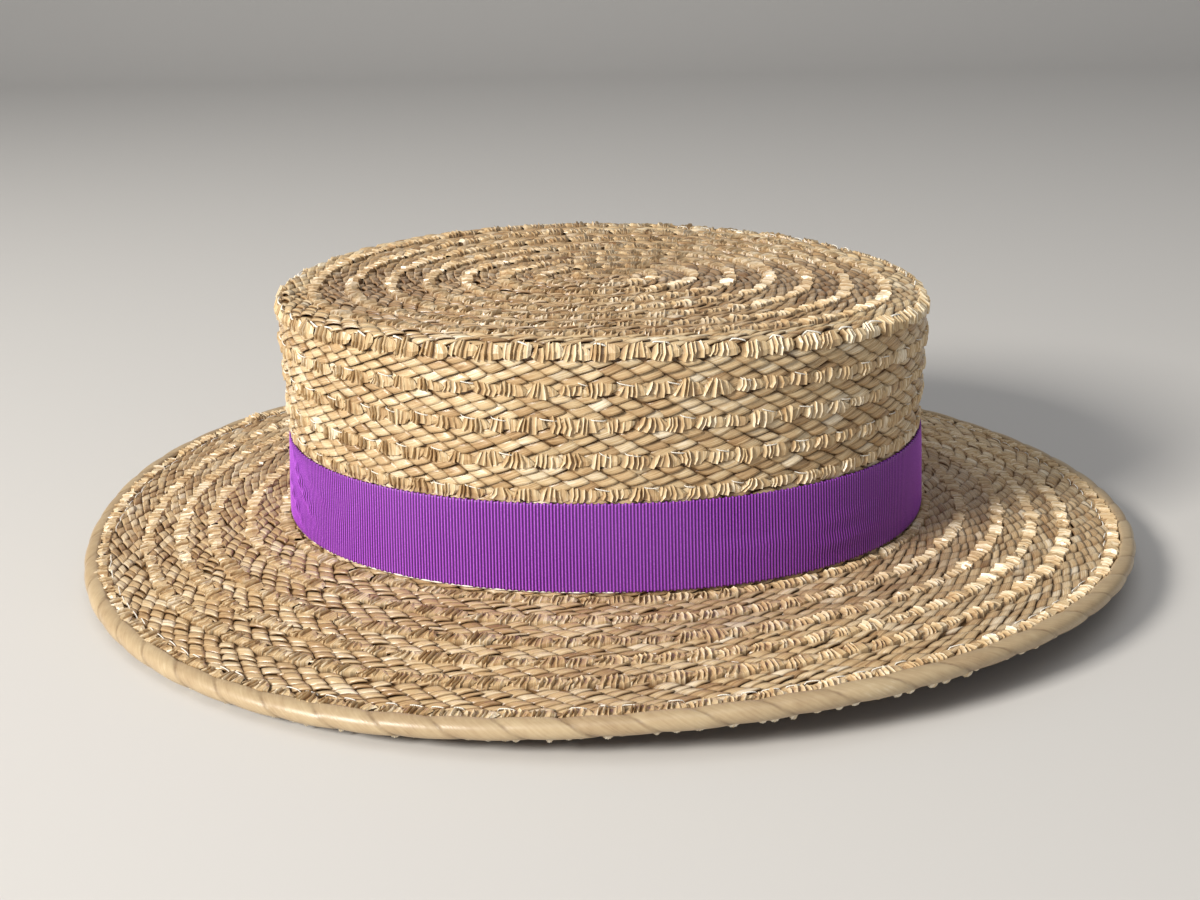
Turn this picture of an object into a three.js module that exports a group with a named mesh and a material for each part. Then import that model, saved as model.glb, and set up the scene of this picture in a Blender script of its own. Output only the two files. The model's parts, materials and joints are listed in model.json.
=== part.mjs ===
// A straw boater hat: a crown and a brim of sewn straw plait, a wound binding round the brim's edge,
// a round of plait sewn under that edge, and a ribbon round the crown's foot.
// Millimetres. +Z is up, the long axis (front to back of the head) is X, and Z = 0 is the table it rests on.
// The origin is on the crown's axis.
import * as THREE from "three";

// ---- Driving dimensions ----
const ribbonHeight = 25.6;        // 1 inch petersham
const ribbonHalfLength = 102;     // outside of the ribbon at its lower edge, along X
const crownDifference = 20.5;     // half length less half width, for every ring round the crown
const edgeDifference = 22.7;      // and at the brim's edge
const ribbonThickness = 0.6;
const gap = 0.3;                  // clearance between touching pieces
const crownHeight = 69.6;         // from the ribbon's lower edge to the tip
const crownWall = 2.4;
const brimWall = 2.8;
const brimHalfLength = 166.2;     // to the outside of the binding, along X
const bindingThickness = 0.9;
const bindingRadius = 2.7;        // of the rolled edge, seen in section
const underRoundThickness = 1.5;
const underRoundWidth = 12;
const crownPower = 2.14;          // power of the crown's oval; 2 is an ellipse
const brimPower = 2.06;           // power of the oval at the brim's edge
const segments = 76;              // facets round the hat

// Drops below the ribbon's lower edge
const brimFootDrop = 1.5;         // to the brim's upper side, at the crown
const edgeDrop = 6.3;             // to the middle of the rolled edge, on average

// Rise of the brim's edge as it goes round: rise = cosine * cos(n t) + sine * sin(n t), t from +X towards +Y
const edgeWave = [
  { turns: 2, cosine: -0.2, sine: -3.7 },
  { turns: 3, cosine: -1.0, sine: 0 },
];
// The same for the corner of the crown, whose tip stays flat in the middle
const cornerWave = [
  { turns: 1, cosine: -1.4, sine: 0.6 },
  { turns: 2, cosine: -1.5, sine: -0.3 },
];

const flatTipHalfLength = 48;     // the tip is level inside this oval
const tipOvalHalfLength = 96;     // inside it the ovals shrink in proportion, outside they keep their difference

// ---- Worked out from them ----
const crownFootHalfLength = ribbonHalfLength - ribbonThickness - gap;
const underRoundHalfLength = brimHalfLength - 1.3;

const smooth = (from, to, value) => {
  const share = Math.min(1, Math.max(0, (value - from) / (to - from)));
  return share * share * (3 - 2 * share);
};

const wave = (table, angle) =>
  table.reduce((sum, w) => sum + w.cosine * Math.cos(w.turns * angle) + w.sine * Math.sin(w.turns * angle), 0);

// How far out over the brim a ring is: 0 at the crown's foot, 1 at the edge
const brimShare = (halfLength) =>
  Math.min(1, Math.max(0, (halfLength - crownFootHalfLength) / (brimHalfLength - crownFootHalfLength)));

// The half width of the oval with this half length
function halfWidth(halfLength) {
  const scaled = (tipOvalHalfLength - crownDifference) / tipOvalHalfLength;
  if (halfLength < tipOvalHalfLength) return halfLength * scaled;
  return halfLength - THREE.MathUtils.lerp(crownDifference, edgeDifference, brimShare(halfLength));
}

const brimLift = (halfLength, height, angle) => wave(edgeWave, angle) * brimShare(halfLength) ** 1.5;

// The hat stands on the lowest point of the round under its edge, which is at height 0
const facetAngles = Array.from({ length: segments }, (_, i) => (i * 2 * Math.PI) / segments);
const deepestDip = Math.min(...facetAngles.map((angle) => brimLift(underRoundHalfLength, 0, angle)));
const ribbonFoot = edgeDrop + bindingRadius + gap + underRoundThickness - deepestDip;
const tipHeight = ribbonFoot + crownHeight;
const brimFootMiddle = ribbonFoot - brimFootDrop - brimWall / 2;
const edgeMiddle = ribbonFoot - edgeDrop;

const crownLift = (halfLength, height, angle) =>
  wave(cornerWave, angle) *
  smooth(ribbonFoot + ribbonHeight, tipHeight - 6, height) *
  smooth(flatTipHalfLength, crownFootHalfLength - 6, halfLength);

// Middle height of the brim's wall under the ring with this half length, before its wave
const brimMiddle = (halfLength) =>
  THREE.MathUtils.lerp(brimFootMiddle, edgeMiddle, brimShare(halfLength));

// Turns a lathed shape, whose radius stands for a ring's half length, into the hat's ovals.
// lift gives the extra height at a half length, height and angle.
function ovalLathe(profile, lift) {
  const geometry = new THREE.LatheGeometry(profile.map(([x, z]) => new THREE.Vector2(x, z)), segments);
  geometry.rotateX(Math.PI / 2);
  const position = geometry.getAttribute("position");
  for (let i = 0; i < position.count; i++) {
    const halfLength = Math.hypot(position.getX(i), position.getY(i));
    const height = position.getZ(i);
    if (halfLength < 1e-4) {
      position.setXYZ(i, 0, 0, height);
      continue;
    }
    const cosine = position.getX(i) / halfLength;
    const sine = position.getY(i) / halfLength;
    const angle = Math.atan2(sine, cosine);
    const power = THREE.MathUtils.lerp(crownPower, brimPower, brimShare(halfLength));
    const reach = (Math.abs(cosine) ** power + Math.abs(sine) ** power) ** (-1 / power);
    position.setXYZ(
      i,
      halfLength * cosine * reach,
      halfWidth(halfLength) * sine * reach,
      height + lift(halfLength, height, angle),
    );
  }
  geometry.deleteAttribute("uv");
  geometry.computeVertexNormals();
  return geometry;
}

// ---- Crown: a cup with a flat tip, open below ----
// height above the ribbon's lower edge, and how far the outside stands in from the foot's half length
const crownSide = [
  { height: -brimFootDrop - brimWall, inset: 0 },
  { height: 0, inset: 0 },
  { height: ribbonHeight, inset: 1.7 },
  { height: 46, inset: 1.3 },
  { height: crownHeight - 3.2, inset: 0.9 },
  { height: crownHeight - 0.9, inset: 1.6 },
  { height: crownHeight, inset: 3.8 },
];
// half lengths of the tip's rings
const tipRings = [76, flatTipHalfLength, 24];

function crownProfile() {
  const outside = crownSide.map((row) => [crownFootHalfLength - row.inset, ribbonFoot + row.height]);
  const tip = tipRings.map((ring) => [ring, tipHeight]);
  const underTip = [...tipRings].reverse().map((ring) => [ring, tipHeight - crownWall]);
  const inside = crownSide
    .slice(0, -1)
    .reverse()
    .map((row) => [
      crownFootHalfLength - row.inset - crownWall,
      ribbonFoot + Math.min(row.height, crownHeight - crownWall - 0.6),
    ])
    .filter(([, z], i, rows) => i === 0 || z < rows[i - 1][1]);
  return [...outside, ...tip, [0, tipHeight], [0, tipHeight - crownWall], ...underTip, ...inside, outside[0]];
}

// ---- Brim: a thin ring whose outer edge is rounded inside the binding ----
const brimStations = [0, 0.2, 0.4, 0.6, 0.8];   // shares of the way from the crown to the edge

function brimProfile() {
  const inner = crownFootHalfLength + gap;
  const roll = brimHalfLength - bindingRadius;
  const rings = brimStations.map((share) => THREE.MathUtils.lerp(inner, roll, share));
  const half = brimWall / 2;
  const over = rings.map((ring) => [ring, brimMiddle(ring) + half]);
  const under = rings.map((ring) => [ring, brimMiddle(ring) - half]);
  const edge = [
    [roll, edgeMiddle - half],
    [roll + 0.9, edgeMiddle - half * 0.7],
    [roll + 1.3, edgeMiddle],
    [roll + 0.9, edgeMiddle + half * 0.7],
    [roll, edgeMiddle + half],
  ];
  return [...under, ...edge, ...over.reverse(), under[0]];
}

// ---- Binding: a strip rolled over the edge, open towards the crown ----
const lipLength = 2.6;            // how far each lip runs inwards from the roll's middle
const lipDroop = 0.25;            // each lip closes a little on the brim at its end

function bindingProfile() {
  const roll = brimHalfLength - bindingRadius;
  const inside = bindingRadius - bindingThickness;
  const arc = (radius, degrees) =>
    degrees.map((d) => [
      roll + radius * Math.cos(THREE.MathUtils.degToRad(d)),
      edgeMiddle + radius * Math.sin(THREE.MathUtils.degToRad(d)),
    ]);
  const lip = (side) => [
    [roll - lipLength, edgeMiddle + side * (bindingRadius - lipDroop)],
    [roll - lipLength, edgeMiddle + side * (inside - 0.05)],
  ];
  const [overOut, overIn] = lip(1);
  const [underOut, underIn] = lip(-1);
  return [
    underOut,
    ...arc(bindingRadius, [-90, -60, -30, 0, 30, 60, 90]),
    overOut,
    overIn,
    ...arc(inside, [90, 45, 0, -45, -90]),
    underIn,
    underOut,
  ];
}

// ---- Round of plait under the edge: it lies under the binding's lower lip and steps up to the brim ----
function underRoundProfile() {
  const outer = underRoundHalfLength;
  const top = edgeMiddle - bindingRadius - gap;
  const rows = [
    { in: 0, height: top },
    { in: 5.0, height: top },
    { in: 7.0, height: edgeMiddle - brimWall / 2 - gap },
    { in: underRoundWidth, height: edgeMiddle - brimWall / 2 - gap + 0.25 },
  ];
  const over = rows.map((row) => [outer - row.in, row.height]);
  const under = rows.map((row) => [outer - row.in, row.height - underRoundThickness]).reverse();
  return [...under, ...over, under[0]];
}

// ---- Ribbon: a thin band standing round the crown's foot ----
function ribbonProfile() {
  const rings = [0, 0.5, 1].map((share) => ({
    height: ribbonFoot + share * ribbonHeight,
    inner: ribbonHalfLength - ribbonThickness - share * crownSide[2].inset,
  }));
  const inner = rings.map((ring) => [ring.inner, ring.height]);
  const outer = rings.map((ring) => [ring.inner + ribbonThickness, ring.height]);
  return [...outer, ...inner.reverse(), outer[0]];
}

const straw = { roughness: 0.55, metalness: 0 };
const pieces = [
  { name: "crown", profile: crownProfile(), lift: crownLift, finish: { color: 0xc8a15e, ...straw } },
  { name: "brim", profile: brimProfile(), lift: brimLift, finish: { color: 0xb89c74, ...straw } },
  { name: "edge_binding", profile: bindingProfile(), lift: brimLift, finish: { color: 0xcaa96c, ...straw } },
  { name: "under_edge_round", profile: underRoundProfile(), lift: brimLift, finish: { color: 0xb89c74, ...straw } },
  {
    name: "ribbon_band",
    profile: ribbonProfile(),
    lift: () => 0,
    finish: { color: 0x5a1c78, roughness: 0.7, metalness: 0 },
  },
];

const hat = new THREE.Group();
for (const piece of pieces) {
  const mesh = new THREE.Mesh(ovalLathe(piece.profile, piece.lift), new THREE.MeshStandardMaterial(piece.finish));
  mesh.name = piece.name;
  hat.add(mesh);
}

export default hat;
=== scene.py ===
# A straw boater: knotted straw plait sewn in a spiral, a wound edge, and a purple grosgrain ribbon.
import json
import math
import bpy
import numpy as np
from mathutils import Matrix, Vector


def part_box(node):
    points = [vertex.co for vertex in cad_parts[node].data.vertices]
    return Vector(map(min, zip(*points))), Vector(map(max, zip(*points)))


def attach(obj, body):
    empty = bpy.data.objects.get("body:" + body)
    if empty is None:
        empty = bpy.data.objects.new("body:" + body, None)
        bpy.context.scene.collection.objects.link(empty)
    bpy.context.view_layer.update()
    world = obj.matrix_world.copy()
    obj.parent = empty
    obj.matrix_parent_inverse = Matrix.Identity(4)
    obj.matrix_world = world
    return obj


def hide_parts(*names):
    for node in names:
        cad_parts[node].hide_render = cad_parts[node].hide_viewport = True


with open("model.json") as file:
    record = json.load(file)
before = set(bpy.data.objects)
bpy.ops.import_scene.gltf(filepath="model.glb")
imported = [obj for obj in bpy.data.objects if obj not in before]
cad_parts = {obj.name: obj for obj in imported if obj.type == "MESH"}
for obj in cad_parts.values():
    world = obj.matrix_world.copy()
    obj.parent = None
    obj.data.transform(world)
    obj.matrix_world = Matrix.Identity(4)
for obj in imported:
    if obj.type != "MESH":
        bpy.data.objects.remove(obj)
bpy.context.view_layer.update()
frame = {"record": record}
mm = 0.001

# camera
camera = {
    "place": (20.4, -428.8, 184.4),   # mm, in the hat's own frame
    "down": 0.351,                    # radians below the horizon
    "turn": -0.051,                   # radians about +Z, to the left
    "roll": -0.022,
    "lens": 41.95,                    # mm on a 36 mm wide sensor
}


def makeCamera(c):
    down, turn = c["down"], c["turn"]
    ahead = np.array([math.sin(turn) * math.cos(down), math.cos(turn) * math.cos(down), -math.sin(down)])
    right = np.array([math.cos(turn), -math.sin(turn), 0.0])
    up = np.cross(right, ahead)
    cr, sr = math.cos(c["roll"]), math.sin(c["roll"])
    x, y = cr * right + sr * up, -sr * right + cr * up
    cam = bpy.data.cameras.new("camera")
    cam.sensor_width = 36
    cam.lens = c["lens"]
    cam.clip_start, cam.clip_end = 0.02, 20
    obj = bpy.data.objects.new("camera", cam)
    bpy.context.scene.collection.objects.link(obj)
    m = Matrix.Identity(4)
    for row in range(3):
        m[row][0], m[row][1], m[row][2], m[row][3] = x[row], y[row], -ahead[row], c["place"][row] * mm
    obj.matrix_world = m
    bpy.context.scene.camera = obj


makeCamera(camera)
print("camera placed")

# the hat's form, mm
mounts = {m["name"]: m for m in frame["record"]["mounts"]}
hat = {
    "foot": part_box("crown")[1].x / mm,             # half length of the crown's foot
    "edge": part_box("edge_binding")[1].x / mm,      # half length to the outside of the binding
    "ribbonFoot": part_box("ribbon_band")[0].z / mm,
    "ribbonTop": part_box("ribbon_band")[1].z / mm,
    "tip": mounts["tip_top"]["pos_m"][2] / mm,
    "crownDifference": 20.5,                       # half length less half width, at the crown
    "edgeDifference": 22.7,                        # and at the brim's edge
    "crownPower": 2.14,
    "edgePower": 2.06,
    "tipOval": 96,
    "flatTip": 48,
    "brimFootDrop": 1.5,
    "edgeDrop": 6.3,
    "crownWall": 2.4,
    "brimWall": 2.8,
    "bindingRadius": 2.7,
    "sink": 1.0,                                   # the plait's ground lies this far under the mean surface
}
edgeWave = ((2, -0.2, -3.7), (3, -1.0, 0.0))       # turns, cosine, sine: rise of the brim's edge
cornerWave = ((1, -1.4, 0.6), (2, -1.5, -0.3))     # rise of the tip's corner


def smooth(low, high, x):
    # 0 below low, 1 above high, eased between them
    s = np.clip((x - low) / (high - low), 0, 1)
    return s * s * (3 - 2 * s)


def wave(table, angle):
    # a sum of a few cosines and sines of the angle round the hat
    return sum(c * np.cos(n * angle) + s * np.sin(n * angle) for n, c, s in table)


def ovalPoint(a, z, angle, eye=0.0):
    # the point at this angle on the oval of half length a, lifted by the hat's waves;
    # with an eye, the tip's ovals shrink to a line that long each way instead of to a point
    share = np.clip((a - hat["foot"]) / (hat["edge"] - hat["foot"]), 0, 1)
    power = hat["crownPower"] + (hat["edgePower"] - hat["crownPower"]) * share
    difference = hat["crownDifference"] + (hat["edgeDifference"] - hat["crownDifference"]) * share
    narrow = (hat["tipOval"] - hat["crownDifference"]) / (hat["tipOval"] - eye)
    b = np.where(a < hat["tipOval"], np.maximum(a - eye, 0) * narrow, a - difference)
    c, s = np.cos(angle), np.sin(angle)
    reach = (np.abs(c) ** power + np.abs(s) ** power) ** (-1 / power)
    corner = smooth(hat["ribbonTop"], hat["tip"] - 6, z) * smooth(hat["flatTip"], hat["foot"] - 6, a)
    lift = wave(cornerWave, angle) * corner + wave(edgeWave, angle) * share ** 1.5
    return np.stack([a * c * reach, b * s * reach, z + lift], -1)


def meridianTable(inwards):
    # half length and height of the wall's outside from the middle of the tip to the brim's edge,
    # moved inwards (or down, on the tip and brim) by this many mm
    foot, ribbon, tip = hat["foot"], hat["ribbonFoot"], hat["tip"]
    brimTop = ribbon - hat["brimFootDrop"]
    edgeTop = ribbon - hat["edgeDrop"] + hat["brimWall"] / 2
    corner = 3.2
    bend = np.radians(np.linspace(90, 0, 7))
    cornerA = foot - 0.9 - corner + (corner - inwards) * np.cos(bend)
    cornerZ = tip - corner + (corner - inwards) * np.sin(bend)
    side = [(foot - 1.3 - inwards, ribbon + 46), (foot - 1.7 - inwards, hat["ribbonTop"]),
            (foot - inwards, brimTop + 2 - inwards)]
    fillet = [(foot + 0.6 - inwards, brimTop + 0.6 - inwards), (foot + 2 - inwards, brimTop - inwards)]
    brim = [(hat["edge"] - hat["bindingRadius"], edgeTop - inwards), (hat["edge"] - 1.4, edgeTop - 0.7 - inwards)]
    rows = [(0.0, tip - inwards), *zip(cornerA, cornerZ), *side, *fillet, *brim]
    return np.array(rows)


def alongMeridian(table, q):
    # half length and height at the distance q along the table's line
    length = np.concatenate([[0], np.cumsum(np.hypot(*np.diff(table, axis=0).T))])
    return np.interp(q, length, table[:, 0]), np.interp(q, length, table[:, 1])


ground = meridianTable(hat["sink"])
groundLength = np.concatenate([[0], np.cumsum(np.hypot(*np.diff(ground, axis=0).T))])
sideFrom = groundLength[7]                          # just below the corner
footAt = groundLength[11]
lastRow = groundLength[-2] - (hat["edge"] - hat["bindingRadius"] - 160.1)


def heightOnSide(z):
    # distance along the ground at which the side is z mm above the ribbon's lower edge
    return sideFrom + (hat["tip"] - hat["ribbonFoot"] - 3.2 - z)


# knot rows of the spiral, counted in turns from the middle of the tip (the half is at the front)
rowTurns = np.array([0.5, 8.5, 9.5, 13.5, 14.5, 15.5, 16.5, 17.5, 18.5, 19.5, 20.5, 22])
rowPlaces = np.array([6, heightOnSide(67.0), heightOnSide(57.2), heightOnSide(18.2), heightOnSide(8.4),
                      *(footAt + np.array([2.4, 13.6, 25.2, 35.2, 45.0])), lastRow, lastRow])


def groundPoint(q, angle, eye=6.0):
    a, z = alongMeridian(ground, q)
    return ovalPoint(a, z, angle, eye)


def surfaceFrame(q, angle):
    # the ground's point and its outward normal, from small steps both ways
    p = groundPoint(q, angle)
    dq = groundPoint(q + 0.4, angle) - groundPoint(np.maximum(q - 0.4, 0), angle)
    dt = groundPoint(q, angle + 0.004) - groundPoint(q, angle - 0.004)
    n = np.cross(dq, dt)
    return p, n / np.maximum(np.linalg.norm(n, axis=-1, keepdims=True), 1e-9)


# the sewn spiral's path
turnSteps = 3000
pathTurn = np.linspace(0.55, 21.0, int(20.45 * turnSteps))
pathAngle = math.pi / 2 - 2 * math.pi * pathTurn
# each turn starts at the back, where most of the step out to the next round is made
sinceBack = pathTurn % 1.0
step = 0.5 * smooth(0, 0.16, sinceBack) + 0.5 * smooth(0.84, 1.0, sinceBack)
rowTurn = np.floor(pathTurn) + 0.25 * sinceBack + 0.75 * step
pathPlace = np.interp(rowTurn, rowTurns, rowPlaces)
pathPoint = groundPoint(pathPlace, pathAngle)
pathLength = np.concatenate([[0], np.cumsum(np.linalg.norm(np.diff(pathPoint, axis=0), axis=1))])
print(f"plait path {pathLength[-1] / 1000:.2f} m")


def onPlait(station, u, v, h):
    # a point u mm to the right, v mm outwards and h mm above the plait's knot line at this station
    s = station - u
    turn = np.interp(s, pathLength, pathTurn)
    q = np.interp(s, pathLength, pathPlace) + v
    angle = math.pi / 2 - 2 * math.pi * turn
    p, n = surfaceFrame(q, angle)
    # pressed flat where the ribbon covers it
    pressed = (q > sideFrom) & (q < footAt + 0.4) & (p[..., 2] < hat["ribbonTop"] + 0.5)
    return p + np.where(pressed, np.minimum(h, 1.1), h)[..., None] * n


# meshes from grids
def gridFaces(count, rows, cols, closeRows=False, closeCols=False):
    # quads of count grids of rows x cols points, with their front towards rows cross cols reversed
    r, c = rows - (not closeRows), cols - (not closeCols)
    i, j = np.meshgrid(np.arange(r), np.arange(c), indexing="ij")
    i2, j2 = (i + 1) % rows, (j + 1) % cols
    one = np.stack([i * cols + j, i * cols + j2, i2 * cols + j2, i2 * cols + j], -1).reshape(-1, 4)
    return (one[None] + (np.arange(count) * rows * cols)[:, None, None]).reshape(-1, 4)


def meshPiece(name, points, faces, material, uv=None, values=None, smoothShade=True):
    # a mesh from points in mm, quads, a UV pair for each point and named values for each point
    co = np.ascontiguousarray(points.reshape(-1, 3) * mm, np.float32)
    mesh = bpy.data.meshes.new(name)
    mesh.vertices.add(len(co))
    mesh.vertices.foreach_set("co", co.ravel())
    mesh.loops.add(faces.size)
    mesh.loops.foreach_set("vertex_index", faces.ravel().astype(np.int32))
    mesh.polygons.add(len(faces))
    mesh.polygons.foreach_set("loop_start", np.arange(0, faces.size, 4, dtype=np.int32))
    mesh.polygons.foreach_set("use_smooth", np.full(len(faces), smoothShade))
    mesh.update(calc_edges=True)
    if uv is not None:
        layer = mesh.uv_layers.new(name="UVMap")
        layer.data.foreach_set("uv", uv.reshape(-1, 2)[faces.ravel()].astype(np.float32).ravel())
    for key, value in (values or {}).items():
        mesh.attributes.new(key, "FLOAT", "POINT").data.foreach_set("value", value.astype(np.float32).ravel())
    mesh.validate()
    mesh.materials.append(material)
    obj = bpy.data.objects.new(name, mesh)
    bpy.context.scene.collection.objects.link(obj)
    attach(obj, "root")
    print(f"{name}: {len(faces) * 2} triangles")
    return obj


# materials
def hexColour(text):
    # sRGB hex to the linear colour that a shader wants
    c = np.array([int(text[i:i + 2], 16) / 255 for i in (0, 2, 4)])
    c = np.where(c <= 0.04045, c / 12.92, ((c + 0.055) / 1.055) ** 2.4)
    return (*c.tolist(), 1.0)


def newMaterial(name):
    material = bpy.data.materials.new(name)
    material.use_nodes = True
    tree = material.node_tree
    return material, tree, tree.nodes["Principled BSDF"]


def node(tree, kind, settings=None, **inputs):
    # adds a node, sets its settings, sets or links its inputs by name (or i and a number), and gives the
    # output named in the settings; stops are the places and hex colours of a ramp
    settings = dict(settings or {})
    give, stops = settings.pop("give", 0), settings.pop("stops", ())
    n = tree.nodes.new(kind)
    for key, value in settings.items():
        setattr(n, key, value)
    for place, colour in stops[2:]:
        n.color_ramp.elements.new(place)
    for i, (place, colour) in enumerate(stops):
        n.color_ramp.elements[i].position, n.color_ramp.elements[i].color = place, hexColour(colour)
    for key, value in inputs.items():
        socket = n.inputs[int(key[1:]) if key[1:].isdigit() else key.replace("_", " ")]
        if isinstance(value, bpy.types.NodeSocket):
            tree.links.new(value, socket)
        else:
            socket.default_value = value
    return n.outputs[give]


strawLook = {
    "tones": ((0.0, "987650"), (0.3, "C6A67A"), (0.62, "DFC79C"), (1.0, "FFF4DC")),   # per straw
    "grey": "9C9189", "greyShare": 0.5,
    "wearAndShade": "C9BAB0",         # the colour that age and painted shade multiply the straw by, most on the tip and brim
    # painted shade: the dark brown that edges, gaps and fold valleys are darkened towards
    "gap": "5E3F24",
    "fibre": 0.32,            # mm between the lines along a straw; real ones are finer than the render shows
    "grain": 1.1,             # how strongly those lines are coloured
    "roughness": 0.3,
}


def strawMaterial(name, look, tones):
    # split wheat straw: a hard, faintly glossy skin with fine lines along it, sun-browned, and greyed and darkened
    # in patches by age; the greater greying on the tip and brim is also painted shade, and edges, gaps and fold
    # valleys are darkened with painted shade
    material, tree, shader = newMaterial(name)
    mix = {"data_type": "RGBA", "give": 2}
    tint, shade, weatherAndShade = (node(tree, "ShaderNodeAttribute", {"attribute_name": key, "give": "Fac"})
                            for key in ("tint", "shade", "weatherAndShade"))
    uv = node(tree, "ShaderNodeUVMap", {"uv_map": "UVMap"})
    place = node(tree, "ShaderNodeTexCoord", {"give": "Object"})
    # UV is in mm: the noise is long along the straw and narrow across it
    lines = node(tree, "ShaderNodeMapping", Vector=uv, Scale=(0.12, 1 / look["fibre"], 1))
    fibre = node(tree, "ShaderNodeTexNoise", {"noise_dimensions": "2D"}, Vector=lines, Scale=1.0, Detail=3.0,
                 Roughness=0.6)
    blotch = node(tree, "ShaderNodeTexNoise", Vector=place, Scale=260.0, Detail=3.0)
    age = node(tree, "ShaderNodeTexNoise", Vector=place, Scale=14.0, Detail=3.0, Roughness=0.6)
    tone = node(tree, "ShaderNodeMath", {"operation": "MULTIPLY_ADD"}, i0=fibre, i1=look["grain"],
                i2=tint)
    tone = node(tree, "ShaderNodeMath", {"operation": "MULTIPLY_ADD"}, i0=blotch, i1=0.5, i2=tone)
    tone = node(tree, "ShaderNodeMath", {"operation": "SUBTRACT"}, i0=tone, i1=look["grain"] / 2 + 0.25)
    colour = node(tree, "ShaderNodeValToRGB", {"stops": tones}, Fac=tone)
    # greying and darkening: patches of age, scaled by the zone's amount, whose larger share on the tip and brim is
    # painted shade
    greyed = node(tree, "ShaderNodeMapRange", Value=age, From_Min=0.45, From_Max=0.75, To_Max=look["greyShare"])
    greyed = node(tree, "ShaderNodeMath", {"operation": "MULTIPLY"}, i0=greyed, i1=weatherAndShade)
    colour = node(tree, "ShaderNodeMix", mix, i0=greyed, i6=colour, i7=hexColour(look["grey"]))
    wearAndShade = node(tree, "ShaderNodeMapRange", Value=age, From_Min=0.2, From_Max=0.7, To_Min=0.4)
    wearAndShade = node(tree, "ShaderNodeMath", {"operation": "MULTIPLY"}, i0=wearAndShade, i1=weatherAndShade)
    colour = node(tree, "ShaderNodeMix", {**mix, "blend_type": "MULTIPLY"}, i0=wearAndShade, i6=colour,
                  i7=hexColour(look["wearAndShade"]))
    # painted shade: where the shade attribute is low, the colour is darkened towards the gap colour
    colour = node(tree, "ShaderNodeMix", mix, i0=shade, i6=hexColour(look["gap"]), i7=colour)
    tree.links.new(colour, shader.inputs["Base Color"])
    rough = node(tree, "ShaderNodeMapRange", Value=fibre, To_Min=look["roughness"] - 0.12,
                 To_Max=look["roughness"] + 0.1)
    tree.links.new(rough, shader.inputs["Roughness"])
    shader.inputs["IOR"].default_value = 1.5
    bump = node(tree, "ShaderNodeBump", Height=fibre, Strength=0.5, Distance=0.00012)
    tree.links.new(bump, shader.inputs["Normal"])
    return material


plaitStraw = strawMaterial("wheatStrawPlait", strawLook, strawLook["tones"])
# the ground under and inside the plait: darker straw tones, painted shade for the gaps between and under the
# straws, inside the crown and under the brim
shadedGroundStraw = strawMaterial("wheatStrawGroundShaded", strawLook, ((0.0, "5E4326"), (0.5, "80603A"), (1.0, "A3825A")))

# straws of the plait
plait = {
    "period": 7.8,            # mm from one knot to the next
    "seed": 41,
    "rise": 19, "fall": 31,   # degrees: the straw climbs to the right, its ends slope down to the right
    "overlap": 1.06,
    "folds": (1.25, 1.2, 1.3, 1.45, 2.6),   # mm, the folds of a knot; the last is a broad loop
}
plait["strawLength"] = plait["period"] / (math.cos(math.radians(plait["rise"])) + math.sin(math.radians(
    plait["rise"])) / math.tan(math.radians(plait["fall"])))
plait["rowStep"] = plait["strawLength"] * math.sin(math.radians(plait["rise"]))
plait["strawWidth"] = plait["rowStep"] / math.sin(math.radians(plait["fall"]))


def stationsOf(fromTurn, toTurn):
    # evenly spaced stations along the path between two turns
    first, last = np.interp([fromTurn, toTurn], pathTurn, pathLength)
    n = int((last - first) / plait["period"])
    return first + (np.arange(n) + 0.5) * (last - first) / n


def underRibbon(stations, below):
    # which stations the ribbon hides, from its upper edge less below down to the brim
    z = np.interp(stations, pathLength, pathPoint[:, 2])
    q = np.interp(stations, pathLength, pathPlace)
    return (q > sideFrom) & (z < hat["ribbonTop"] - below) & (q < footAt + 0.9)


def strawGrid(rng, stations, row, pitch, lastOne):
    # one flat straw for each station: a parallelogram that climbs to the right and meets its neighbours,
    # its left end tucked under the one before and its lower edge lying over the row below, like a shingle
    n = len(stations)
    along = np.array([0, 0.03, 0.22, 0.5, 0.78, 0.96, 1.0])
    across = np.array([0, 0.03, 0.3, 0.7, 0.97, 1.0])
    s, w = along[None, :, None], across[None, None, :]

    def per(spread):
        return rng.normal(0, spread, (n, 1, 1))

    long = plait["strawLength"] * plait["overlap"] * (1 + per(0.05))
    wide = plait["strawWidth"] * plait["overlap"] * (1 + per(0.06))
    rise = np.radians(plait["rise"] + per(3.0))
    fall = np.radians(plait["fall"] + per(4.0))
    x, y = (s - 0.5) * long, (w - 0.5) * wide
    swell = 0.16 * (1 - (2 * w - 1) ** 2) * (2 * s - 1)
    u = (x + swell) * np.cos(rise) + y * np.cos(fall) + per(0.16)
    v = -x * np.sin(rise) + y * np.sin(fall) + per(0.12)
    u = u + row * plait["strawWidth"] * math.cos(math.radians(plait["fall"]))
    v = v - pitch + 2.6 + row * plait["rowStep"]
    arch = np.interp(s, along, [-0.6, -0.05, 0.45, 0.62, 0.58, 0.38, -0.4])
    crown = np.interp(w, across, [-0.45, -0.14, 0.04, 0.2, 0.24, -0.35])
    lean = per(0.16) * (2 * w - 1) + per(0.12) * (2 * s - 1)
    h = (-0.1 if row == lastOne else 0.3) + arch * (1 + per(0.2)) + crown + lean + per(0.07)
    tint = 0.5 + per(0.15) + 0 * h
    edge = (s <= 0) | (s >= 1) | (w <= 0) | (w >= 1)
    # painted shade: each straw darkens towards its ends and long edges, where it meets its neighbours
    shade = np.where(edge, 0.0, np.interp(s, along, [0, 0.3, 0.92, 1, 1, 0.9, 0]) * np.interp(w, across, [0, 0.35, 0.95, 1, 1, 0]))
    uv = np.stack([x + 0 * h + rng.uniform(0, 400, (n, 1, 1)), y + 0 * h + rng.uniform(0, 400, (n, 1, 1))], -1)
    return u, v, h, uv, tint, shade


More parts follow.
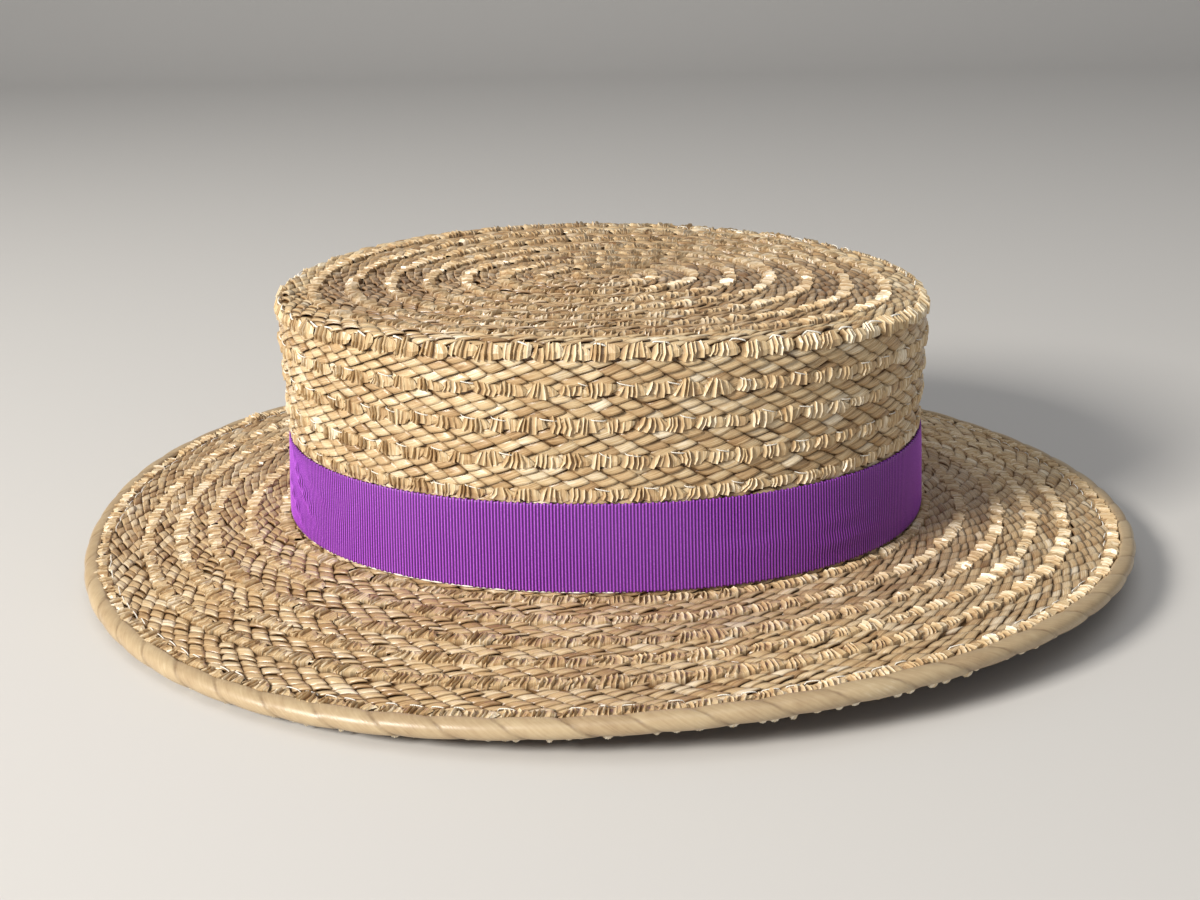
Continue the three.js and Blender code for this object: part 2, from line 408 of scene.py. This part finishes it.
def knotGrid(rng, stations, half, high):
    # one knot for each station: folds side by side, each climbing slowly, then steeply, to a thin crest and
    # dropping behind it; the whole is a long dome, its folds drawn together at one end
    n = len(stations)
    folds = len(plait["folds"])
    widths = np.array(plait["folds"])[None] * (1 + 0.28 * rng.normal(0, 1, (n, folds)).clip(-1.7, 2.2))
    widths *= 1.06 * plait["period"] / widths.sum(1, keepdims=True)
    starts = np.cumsum(widths, 1) - widths
    places = starts[..., None] + widths[..., None] * np.array([0.06, 0.58, 0.9])
    s = np.concatenate([np.zeros((n, 1)), places.reshape(n, -1)], 1)[:, :, None]
    which = np.concatenate([[0], np.repeat(np.arange(folds), 3)])
    w = np.array([0.0, 0.12, 0.5, 0.86, 1.0])[None, None, :]
    across = 2 * w - 1

    def per(spread):
        return rng.normal(0, spread, (n, 1, 1))

    def perFold(spread):
        return rng.normal(0, spread, (n, folds, 1))[:, which, :]

    fold = np.tile([0.2, 0.45, 1.0], folds)
    fold[-3:] = (0.5, 1.05, 0.75)
    crest = np.tile([0.0, 0.25, 1.0], folds)
    crest[-3:] = (0.1, 0.45, 0.7)
    fold, crest = (np.concatenate([[0.05], c])[None, :, None] for c in (fold, crest))
    run = s / plait["period"]
    dome = np.sqrt(np.clip(1 - (2 * run - 1) ** 2 * 0.94, 0.03, 1))
    size = 1 + per(0.1).clip(-0.2, 0.25)
    reach = half * size * (0.42 + 0.64 * dome) * (1 + perFold(0.1))
    bow = (0.45 + per(0.35)) * (1 - across ** 2)
    middle = s - plait["period"] / 2
    u = middle * (1 + (0.12 + per(0.16)) * across) + bow + (perFold(0.2) - 0.25) * across + per(0.35)
    v = across * reach + perFold(0.22) + per(0.15) + 0.25 * dome
    belly = 0.6 + 0.4 * np.sqrt(np.clip(1 - across ** 2, 0, 1))
    h = 0.3 + high * (0.35 + (0.15 + 0.8 * fold * (1 + perFold(0.22))) * size) * belly * (0.4 + 0.62 * dome)
    h = h + rng.normal(0, 0.07, (n, s.shape[1], 5))
    border = (w <= 0) | (w >= 1)
    h = np.where(border, -0.3, h)
    h = np.where(np.arange(s.shape[1])[None, :, None] == 0, -0.2, h)
    # painted highlight: crests are lighter in tint; painted shade: valleys between the folds and the knot's border
    # are darkened
    tint = 0.36 + per(0.08) + perFold(0.08) + 0.38 * crest + 0 * h
    shade = np.where(border, 0.1, 0.42 + 0.4 * (fold > 0.3) + 0.3 * crest + 0 * h)
    uv = np.stack([v + 0 * h + rng.uniform(0, 400, (n, 1, 1)), u + 0 * h], -1)
    return u, v, h, uv, tint, shade


def layGrids(name, sets, weatherAndShade, material=None):
    # puts each set's grids at its stations and joins them all into one piece; crisp sets are shaded flat
    points, faces, flat = [], [], []
    columns = {"uv": [], "tint": [], "shade": [], "weatherAndShade": []}
    base = 0
    for stations, grid, wearAndShade, crisp in sets:
        u, v, h, uv, tint, shade = grid
        n, rows, cols = h.shape
        p = onPlait(stations[:, None, None], np.broadcast_to(u, h.shape), np.broadcast_to(v, h.shape), h)
        points.append(p.reshape(-1, 3))
        quads = gridFaces(n, rows, cols) + base
        faces.append(quads)
        flat.append(np.full(len(quads), crisp))
        columns["uv"].append(uv.reshape(-1, 2))
        columns["tint"].append(np.clip(np.broadcast_to(tint, h.shape), 0, 1).ravel())
        columns["shade"].append(np.clip(np.broadcast_to(shade, h.shape), 0, 1).ravel())
        columns["weatherAndShade"].append(np.full(h.size, wearAndShade * weatherAndShade))
        base += n * rows * cols
    joined = {key: np.concatenate(value) for key, value in columns.items()}
    obj = meshPiece(name, np.concatenate(points), np.concatenate(faces), material or plaitStraw,
                    joined.pop("uv"), joined)
    obj.data.polygons.foreach_set("use_smooth", ~np.concatenate(flat))
    return obj


zones = (
    # name, from turn, to turn, rows of straw, how greyed and darkened (by age, and by painted shade on the tip and
    # brim), half width and height of its knots in mm
    ("tipPlait", 0.62, 8.0, 5, 1.0, 2.2, 1.4),
    ("sidePlait", 8.0, 15.0, 5, 0.15, 2.25, 1.2),
    ("brimPlaitInner", 15.0, 18.0, 6, 0.75, 2.35, 1.3),
    ("brimPlaitOuter", 18.0, 20.02, 6, 0.45, 2.35, 1.3),
    ("brimPlaitLast", 20.02, 20.98, 7, 0.4, 2.1, 1.45),
)
rng = np.random.default_rng(plait["seed"])
for name, fromTurn, toTurn, rows, weatherAndShade, half, high in zones:
    stations = stationsOf(fromTurn, toTurn)
    back = np.interp(np.interp(stations, pathLength, rowTurn) - 1, rowTurns, rowPlaces)
    pitch = np.clip(np.interp(stations, pathLength, pathPlace) - back, 6, 13.2)
    shown = ~underRibbon(stations, 8.5)
    sets = [(stations[shown], strawGrid(rng, stations[shown], row, pitch[shown, None, None], rows - 1), 1.0, False)
            for row in range(rows)]
    bare = stations[~underRibbon(stations, -0.9)]
    sets.append((bare, knotGrid(rng, bare, half, high), 0.5, True))
    layGrids(name, sets, weatherAndShade)

# the plait's own end stands up a little at the back left of the brim
endStations = np.interp(20.838, pathTurn, pathLength) + np.array([-2.6, 0.4, 3.0])
layGrids("plaitEnd", [(endStations, knotGrid(rng, endStations, 2.4, np.array([1.6, 3.0, 2.0])[:, None, None]),
                       0.5, True)], 0.2)

# sewing thread
thread = {"thick": 0.3, "seed": 5, "footFrom": 205, "footTo": 277}   # mm; degrees round the hat


def threadGrid(rng, count, length, slant, offset, height, spread):
    # a short low tube of thread lying along the plait, its ends tucked in
    s = np.linspace(-0.5, 0.5, 7)[None, :, None]
    around = np.radians(np.array([200, 150, 90, 30, -20]))[None, None, :]

    def per(size):
        return rng.normal(0, size, (count, 1, 1))

    r = thread["thick"] / 2
    u = s * length * (1 + per(0.15)) + per(spread)
    v = r * np.cos(around) * -1 + offset + s * slant * (1 + per(0.5)) + per(0.12)
    tuck = -1.2 * np.abs(2 * s) ** 6
    h = height + r * np.sin(around) + tuck + 0.15 * (1 - (2 * s) ** 2) + per(0.06)
    full = np.zeros(h.shape)
    uv = np.stack([u + full, v + full], -1)
    return u + full, v + full, h, uv, full + 0.9, full + 1.0


def threadMaterial():
    # white cotton thread, matt, with a fine twist
    material, tree, shader = newMaterial("cottonThread")
    uv = node(tree, "ShaderNodeUVMap", {"uv_map": "UVMap"})
    turned = node(tree, "ShaderNodeMapping", Vector=uv, Rotation=(0, 0, 0.8))
    twist = node(tree, "ShaderNodeTexWave", Vector=turned, Scale=0.9)
    colour = node(tree, "ShaderNodeValToRGB", {"stops": ((0.0, "D9D3C4"), (1.0, "FAF7F0"))}, Fac=twist)
    tree.links.new(colour, shader.inputs["Base Color"])
    shader.inputs["Roughness"].default_value = 0.8
    return material


cotton = threadMaterial()


def sewThread(t):
    rng = np.random.default_rng(t["seed"])
    first, last = np.interp([8.0, 12.8], pathTurn, pathLength)
    side = np.arange(first, last, 11.5)
    side = side[rng.random(len(side)) < 0.75]
    side = side[~underRibbon(side, -1.2)]
    first, last = np.interp([20.02, 20.97], pathTurn, pathLength)
    edge = np.arange(first, last, 5.9)
    edge = edge[rng.random(len(edge)) < 0.72]
    sets = [(side, threadGrid(rng, len(side), 4.6, 0.8, -1.55, 1.35, 1.5), 0.0, False),
            (edge, threadGrid(rng, len(edge), 4.9, 0.5, -2.35, 1.25, 0.3), 0.0, False)]
    layGrids("sewingThread", sets, 0.0, material=cotton)
    # a line of thread that shows along the foot of the ribbon at the front left
    angle = np.radians(np.linspace(t["footFrom"], t["footTo"], 400))[None, :]
    around = np.radians(np.arange(0, 360, 60))[:, None]
    wander = 0.12 * np.sin(angle * 61) + 0.1 * np.sin(angle * 143)
    size = 0.3 * np.clip(8 - 8 * np.abs(np.linspace(-1, 1, 400)), 0.05, 1)[None, :]
    a = hat["foot"] + 0.55 + size * np.cos(around) + wander
    z = hat["ribbonFoot"] + 0.05 + size * np.sin(around) + 0 * angle
    points = ovalPoint(a, z, angle + 0 * a)
    faces = gridFaces(1, 6, 400, closeRows=True)
    run = np.broadcast_to(angle * hat["foot"], a.shape)
    meshPiece("footThread", points, faces, cotton, np.stack([run, 0.3 * around + 0 * a], -1))


sewThread(thread)


# the walls behind the straws
def plaitRelief(q, angle):
    # how far a round of plait stands out at this place: it starts under the last round's edge and
    # rises to its own, where it drops
    turn = np.interp(q, rowPlaces[:-1], rowTurns[:-1])
    share = (turn - (math.pi / 2 - angle) / (2 * math.pi)) % 1.0
    return share, turn


def wallPiece(name, qFrom, qTo, steps, columns, inner, replaced):
    # a closed wall: the ground outside, and the same line moved inwards for its inside, which shows the
    # back of the plait as low overlapping rounds
    q = np.linspace(qFrom, qTo, steps)
    angle = np.linspace(0, 2 * math.pi, columns, endpoint=False)
    qq, tt = np.meshgrid(q, angle, indexing="ij")
    a, z = alongMeridian(ground, qq)
    outside = ovalPoint(a, z, tt)
    insideTable = meridianTable(inner)
    la = np.concatenate([[0], np.cumsum(np.hypot(*np.diff(insideTable, axis=0).T))])
    key = np.interp(qq, groundLength, la)
    ai, zi = alongMeridian(insideTable, key)
    share, turn = plaitRelief(qq, tt)
    relief = 0.7 * share ** 2
    inside = ovalPoint(ai, zi, tt)
    dq = np.gradient(inside, axis=0)
    dt = np.roll(inside, -1, 1) - np.roll(inside, 1, 1)
    normal = np.cross(dq, dt)
    normal /= np.maximum(np.linalg.norm(normal, axis=-1, keepdims=True), 1e-9)
    inside = inside - normal * (relief * smooth(0, 8, qq - qFrom) * smooth(0, 3, qTo - qq))[..., None]
    points = np.concatenate([outside, inside[::-1]])
    ring = (tt / (2 * math.pi)) * 2 * math.pi * a
    uvOut = np.stack([ring, qq], -1)
    uv = np.concatenate([uvOut, uvOut[::-1] + 500])
    faces = gridFaces(1, 2 * steps, columns, closeRows=qFrom > 0, closeCols=True)
    # outside, under the straws, darkened with painted shade; inside, each round gets lighter towards its raised
    # edge, a painted highlight along the rounds
    tint = np.concatenate([np.full(qq.shape, 0.4), (0.45 + 0.4 * share)[::-1]])
    shade = np.concatenate([np.full(qq.shape, 0.75), np.full(qq.shape, 1.0)])
    obj = meshPiece(name, points, faces, shadedGroundStraw, uv, {"tint": tint, "shade": shade})
    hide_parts(replaced)
    return obj


crownWall = wallPiece("crownWall", 0.0, footAt - 0.6, 110, 200, hat["crownWall"], "crown")
brimWall = wallPiece("brimWall", footAt - 0.3, groundLength[-1] - 0.2, 60, 260, hat["brimWall"], "brim")

# ribbon
ribbon = {
    "ribPitch": 0.93, "ribDepth": 0.26, "samples": 4,      # mm
    "height": hat["ribbonTop"] - hat["ribbonFoot"],
    "halfLength": hat["foot"] + 0.1, "taper": 1.7, "thick": 0.55,
    "tones": ((0.0, "0F0014"), (0.4, "4C0864"), (0.8, "962CBE"), (1.0, "D07CEE")),   # painted shade between the ribs up to a painted highlight on their tops
    "faded": "8E50AC",
}


def ribbonMaterial(look):
    # viscose grosgrain: fine upright ribs with painted shade between them and a painted highlight on their tops,
    # and a soft sheen
    material, tree, shader = newMaterial("purpleGrosgrain")
    uv = node(tree, "ShaderNodeUVMap", {"uv_map": "UVMap"})
    threads = node(tree, "ShaderNodeMapping", Vector=uv, Scale=(1.2, 5.0, 1))
    slub = node(tree, "ShaderNodeTexNoise", {"noise_dimensions": "2D"}, Vector=threads, Scale=1.0, Detail=2.0)
    # painted shade and painted highlight of the ribs, carried in the shade attribute
    height = node(tree, "ShaderNodeAttribute", {"attribute_name": "shade", "give": "Fac"})
    place = node(tree, "ShaderNodeTexCoord", {"give": "Object"})
    dust = node(tree, "ShaderNodeTexNoise", Vector=place, Scale=30.0, Detail=4.0)
    height = node(tree, "ShaderNodeMath", {"operation": "MULTIPLY_ADD"}, i0=slub, i1=0.3, i2=height)
    height = node(tree, "ShaderNodeMath", {"operation": "SUBTRACT"}, i0=height, i1=0.15)
    colour = node(tree, "ShaderNodeValToRGB", {"stops": look["tones"]}, Fac=height)
    dust = node(tree, "ShaderNodeMapRange", Value=dust, From_Min=0.4, From_Max=0.8, To_Max=0.3)
    colour = node(tree, "ShaderNodeMix", {"data_type": "RGBA", "give": 2}, i0=dust, i6=colour,
                  i7=hexColour(look["faded"]))
    tree.links.new(colour, shader.inputs["Base Color"])
    shader.inputs["Roughness"].default_value = 0.5
    shader.inputs["Sheen Weight"].default_value = 0.04
    shader.inputs["Sheen Roughness"].default_value = 0.4
    shader.inputs["Sheen Tint"].default_value = hexColour("C08CE0")
    bump = node(tree, "ShaderNodeBump", Height=slub, Strength=0.35, Distance=0.0001)
    tree.links.new(bump, shader.inputs["Normal"])
    return material


def ribbonRing(a, z, angle, out):
    # the crown's oval at height z, moved outwards by out
    difference = hat["crownDifference"]
    power = hat["crownPower"]
    c, s = np.cos(angle), np.sin(angle)
    reach = (np.abs(c) ** power + np.abs(s) ** power) ** (-1 / power)
    half = a + out
    return np.stack([half * c * reach, (half - difference) * s * reach, z], -1)


def makeRibbon(r):
    # ribs are a cosine of the distance round the crown; creases are slanting or level low ridges
    around = np.linspace(0, 2 * math.pi, 20001)
    ring = ribbonRing(r["halfLength"], 0 * around, around, 0)
    run = np.concatenate([[0], np.cumsum(np.linalg.norm(np.diff(ring, axis=0), axis=1))])
    ribs = int(run[-1] / r["ribPitch"])
    columns = ribs * r["samples"]
    along = np.arange(columns) * run[-1] / columns
    angle = np.interp(along, run, around)
    up = np.array([0, 0.02, 0.06, 0.16, 0.28, 0.4, 0.52, 0.64, 0.76, 0.88, 0.94, 0.98, 1.0])
    uu, tt = np.meshgrid(up, angle, indexing="ij")
    ll = np.broadcast_to(along, uu.shape)
    rib = np.cos(2 * math.pi * ll / run[-1] * ribs)
    picot = 0.16 * np.cos(2 * math.pi * ll / run[-1] * ribs / 2) * (np.abs(2 * uu - 1) ** 12)
    z = hat["ribbonFoot"] + 0.15 + uu * (r["height"] - 0.1) + picot * np.sign(uu - 0.5)
    front = (ll - run[-1] * 0.75)                             # mm to the right of the front's middle
    crease = np.zeros_like(uu)
    for centre, slope, level, width, depth, reach in ribbonCreases:
        line = (z - hat["ribbonFoot"] - level) - slope * (front - centre)
        crease += depth * np.exp(-(line / width) ** 2) * np.exp(-((front - centre) / reach) ** 2)
    wander = 0.12 * np.sin(ll / 23.0 + 3 * uu) + 0.08 * np.sin(ll / 9.1 - 5 * uu)
    out = r["ribDepth"] / 2 * rib * (1 - np.abs(2 * uu - 1) ** 16) + crease + wander * 0.6
    half = r["halfLength"] - r["taper"] * uu + 0.25
    outer = ribbonRing(half, z, tt, r["thick"] + out)
    inner = ribbonRing(half, z, tt, 0.0 * out)
    points = np.concatenate([outer, inner[::-1]])
    uv = np.stack([ll, z], -1)
    # painted shade between the ribs and painted highlight on their tops
    shade = np.clip(0.55 + 0.45 * rib, 0, 1)
    faces = gridFaces(1, 2 * len(up), columns, closeRows=True, closeCols=True)
    obj = meshPiece("ribbonBand", points, faces, ribbonMaterial(r),
                    np.concatenate([uv, uv[::-1]]), {"shade": np.concatenate([shade, shade[::-1]])})
    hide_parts("ribbon_band")


ribbonCreases = (
    # place, slope, height, width, depth, reach (mm)
    (-102, -0.8, 15, 1.5, 1.1, 9),
    (-110, -0.7, 9, 1.5, 0.9, 8),
    (-90, -0.35, 17, 1.3, 0.4, 12),
    (62, 0.06, 12, 1.2, 0.7, 22),
    (78, 0.04, 7.5, 1.0, 0.6, 18),
    (50, 0.02, 18, 0.9, 0.25, 16),
)
makeRibbon(ribbon)

# binding
binding = {
    "wrap": 16.0,             # mm between the seams of the winding
    "slant": 16.0,            # how far a seam runs along the edge while it goes round the roll
    "radius": 2.35,           # the straw strip pulls the roll a little tighter than its solid
    "lump": 0.42, "lip": 2.2,
    "tones": ((0.0, "80684A"), (0.35, "AC9473"), (0.7, "BFAA87"), (1.0, "DACCB2")),
}


def makeBinding(b):
    # a rounded C profile carried along the brim's edge, swelling across each turn of the winding strip
    around = np.linspace(0, 2 * math.pi, 20001)
    middle = hat["edge"] - b["radius"] - 0.1
    zMiddle = hat["ribbonFoot"] - hat["edgeDrop"] - 0.3
    ring = ovalPoint(middle + 0 * around, zMiddle + 0 * around, around)
    run = np.concatenate([[0], np.cumsum(np.linalg.norm(np.diff(ring, axis=0), axis=1))])
    wraps = int(run[-1] / b["wrap"])
    columns = wraps * 18
    along = np.arange(columns) * run[-1] / columns
    angle = np.interp(along, run, around)
    bend = np.radians([-90, -70, -50, -30, -10, 10, 30, 50, 70, 90])
    px = np.concatenate([[-b["lip"], -b["lip"], -1.3], b["radius"] * np.cos(bend), [-1.3, -b["lip"], -b["lip"]]])
    pz = np.concatenate([[-1.6, -2.2, -2.6], b["radius"] * np.sin(bend), [2.6, 2.2, 1.6]])
    k = np.linspace(0, 1, len(px))
    kk, tt = np.meshgrid(k, angle, indexing="ij")
    ll = np.broadcast_to(along, kk.shape)
    phase = (ll + b["slant"] * (kk - 0.5)) / run[-1] * wraps
    part = phase % 1.0
    rng2 = np.random.default_rng(7)
    perWrap = rng2.normal(0, 1, wraps + 4)
    which = np.floor(phase).astype(int) % wraps
    swell = b["lump"] * (np.sin(math.pi * part) ** 0.5 - 0.8) + 0.12 * part + 0.05 * perWrap[which]
    size = 1 + (swell + 0.08 * np.sin(ll / 17.0)) / b["radius"]
    a = middle + px[:, None] * size
    z = zMiddle + pz[:, None] * size
    points = ovalPoint(a, z, tt)
    # the strip's fibres run along its seams
    lean = math.atan2(12, b["slant"])
    uv = np.stack([-ll * math.cos(lean) + kk * 12 * math.sin(lean),
                   ll * math.sin(lean) + kk * 12 * math.cos(lean) + 30 * perWrap[which]], -1)
    # tint differs at random per wrap and grows lighter towards each wrap's raised end, a painted highlight;
    # painted shade darkens the seams between wraps
    tint = np.clip(0.5 + 0.07 * perWrap[which] + 0.12 * (part - 0.5), 0, 1)
    shade = np.clip(0.45 + 12 * np.minimum(part, 1 - part), 0, 1)
    # the inside of the roll closes the profile
    innerX = np.array([-b["lip"], -1.2, 1.6, -1.2, -b["lip"]])
    innerZ = np.array([1.45, 1.5, 0.0, -1.5, -1.45])
    inside = ovalPoint(middle + innerX[:, None] + 0 * tt[:1], zMiddle + innerZ[:, None] + 0 * tt[:1],
                       np.broadcast_to(angle, (5, columns)))
    points = np.concatenate([points, inside])
    fill = np.zeros((5, columns))
    uv = np.concatenate([uv, np.stack([np.broadcast_to(along, (5, columns)), fill], -1)])
    faces = gridFaces(1, len(points), columns, closeRows=True, closeCols=True)[:, ::-1]
    # the inside of the roll is darkened halfway with painted shade
    obj = meshPiece("edgeBinding", points, faces,
                    strawMaterial("splitStrawBinding", {**strawLook, "fibre": 0.5, "grain": 0.5, "roughness": 0.38}, b["tones"]),
                    uv, {"tint": np.concatenate([tint, fill + 0.5]), "shade": np.concatenate([shade, fill + 0.5])})
    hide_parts("edge_binding")


makeBinding(binding)

# round of plait under the edge
underRound = {"top": -3.0, "thick": 1.5, "outer": 1.3, "loop": 5.2, "seed": 11}   # mm


def makeUnderRound(r):
    # a flat strip under the binding, and a row of shell knots along its outer edge
    outer = hat["edge"] - r["outer"]
    zMiddle = hat["ribbonFoot"] - hat["edgeDrop"]
    columns = 500
    angle = np.arange(columns) * 2 * math.pi / columns
    top, thick = r["top"], r["thick"]
    px = np.array([0, -0.2, -2, -5, -7, -11.8, -11.8, -7, -5, -2, -0.6, 0]) * 0.55 - 5.2
    pz = np.array([top - 0.8, top - 0.1, top - 0.05, top, -1.75, -1.5, -2.9, -3.2, top - thick + 0.3,
                   top - thick + 0.25, top - thick + 0.4, top - 1.0])
    kk, tt = np.meshgrid(np.arange(len(px)), angle, indexing="ij")
    points = ovalPoint(outer - 0.7 + px[:, None] + 0 * tt, zMiddle + pz[:, None] + 0 * tt, tt)
    uv = np.stack([tt * outer, kk * 1.5], -1)
    faces = gridFaces(1, len(px), columns, closeRows=True, closeCols=True)
    # darkened a little with painted shade, under the binding
    obj = meshPiece("underEdgeRound", points, faces, shadedGroundStraw, uv,
                    {"tint": np.full(kk.shape, 0.6), "shade": np.full(kk.shape, 0.9)})
    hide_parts("under_edge_round")
    # small loops of its knots stand out below the binding: each is a quarter of an egg
    around = np.linspace(0, 2 * math.pi, 20001)
    ring = ovalPoint(outer + 0 * around, zMiddle + 0 * around, around)
    run = np.concatenate([[0], np.cumsum(np.linalg.norm(np.diff(ring, axis=0), axis=1))])
    rng = np.random.default_rng(r["seed"])
    n = int(run[-1] / r["loop"])
    stations = (np.arange(n) + rng.uniform(0.1, 0.9, n)) * run[-1] / n
    s = np.linspace(-1, 1, 11)[None, :, None]
    turn = np.radians(np.linspace(80, -110, 7))[None, None, :]
    size = rng.uniform(0.6, 1.5, (n, 1, 1))
    wide = rng.uniform(0.9, 1.6, (n, 1, 1))
    swell = np.sqrt(np.clip(1 - s ** 2, 0, 1)) * (1 - 0.25 * np.abs(np.sin(2.6 * math.pi * s)))
    t = np.interp((stations[:, None, None] + s * wide + 0.3 * np.sin(turn)) % run[-1], run, around)
    a = outer - 2.3 + (0.2 + 0.9 * size * swell) * np.cos(turn)
    z = np.maximum(zMiddle + top + 0.25 + (0.3 + 1.15 * size * swell) * np.sin(turn), zMiddle + top - thick)
    points = ovalPoint(a, z, t + 0 * a)
    fill = np.zeros(a.shape)
    uv = np.stack([fill + turn * 1.2 + stations[:, None, None], fill + s * wide], -1)
    # painted shade: each loop darkens towards its ends, where it meets the strip
    meshPiece("underEdgeLoops", points, gridFaces(n, 11, 7), plaitStraw, uv,
              {"tint": fill + 0.85, "shade": np.clip(fill + 0.2 + swell, 0, 1), "weatherAndShade": fill})


makeUnderRound(underRound)

# room: floor and light
room = {"floor": "CFCDCA", "half": 14.0, "wall": 1.6}


def makeRoom(r):
    # a pale floor that curves up far behind the hat
    depth = np.concatenate([[-r["half"], r["wall"]], r["wall"] + 0.8 * np.sin(np.radians(np.arange(10, 91, 10))), [r["wall"] + 0.8]])
    rise = np.concatenate([[0, 0], 0.8 * (1 - np.cos(np.radians(np.arange(10, 91, 10)))), [3.5]])
    x = np.array([-r["half"], r["half"]])
    xx, dd = np.meshgrid(x, depth)
    zz = np.broadcast_to(rise[:, None], xx.shape)
    material, tree, shader = newMaterial("paleFloor")
    shader.inputs["Base Color"].default_value = hexColour(r["floor"])
    shader.inputs["Roughness"].default_value = 0.85
    mesh = bpy.data.meshes.new("floor")
    points = np.stack([xx, dd, zz - 0.0003], -1).reshape(-1, 3)
    mesh.from_pydata(points.tolist(), [], gridFaces(1, len(depth), 2)[:, ::-1].tolist())
    mesh.polygons.foreach_set("use_smooth", np.full(len(mesh.polygons), True))
    mesh.materials.append(material)
    floor = bpy.data.objects.new("floor", mesh)
    bpy.context.scene.collection.objects.link(floor)


lights = (
    # name, place, aim, size, watts, colour (metres)
    ("window", (-1.22, -1.05, 0.95), (0, 0, 0.04), 0.45, 44, "FFFAF2"),
    ("fill", (1.4, -1.2, 0.9), (0, 0, 0.03), 1.6, 0.6, "F2F5FF"),
    ("top", (0.0, -0.5, 1.6), (0, 0, 0.03), 1.2, 6, "FFFFFF"),
)


def makeLights():
    for name, place, aim, size, watts, colour in lights:
        data = bpy.data.lights.new(name, "AREA")
        data.shape, data.size, data.energy = "SQUARE", size, watts
        data.color = hexColour(colour)[:3]
        obj = bpy.data.objects.new(name, data)
        bpy.context.scene.collection.objects.link(obj)
        to = np.array(aim) - np.array(place)
        obj.location = place
        obj.rotation_euler = Vector(to).to_track_quat("-Z", "Y").to_euler()
    world = bpy.data.worlds.new("world")
    world.use_nodes = True
    world.node_tree.nodes["Background"].inputs[0].default_value = hexColour("F4F6FA")
    world.node_tree.nodes["Background"].inputs[1].default_value = 0.27
    bpy.context.scene.world = world
    bpy.context.scene.view_settings.view_transform = "Standard"


makeRoom(room)
makeLights()
print("floor and lights placed")
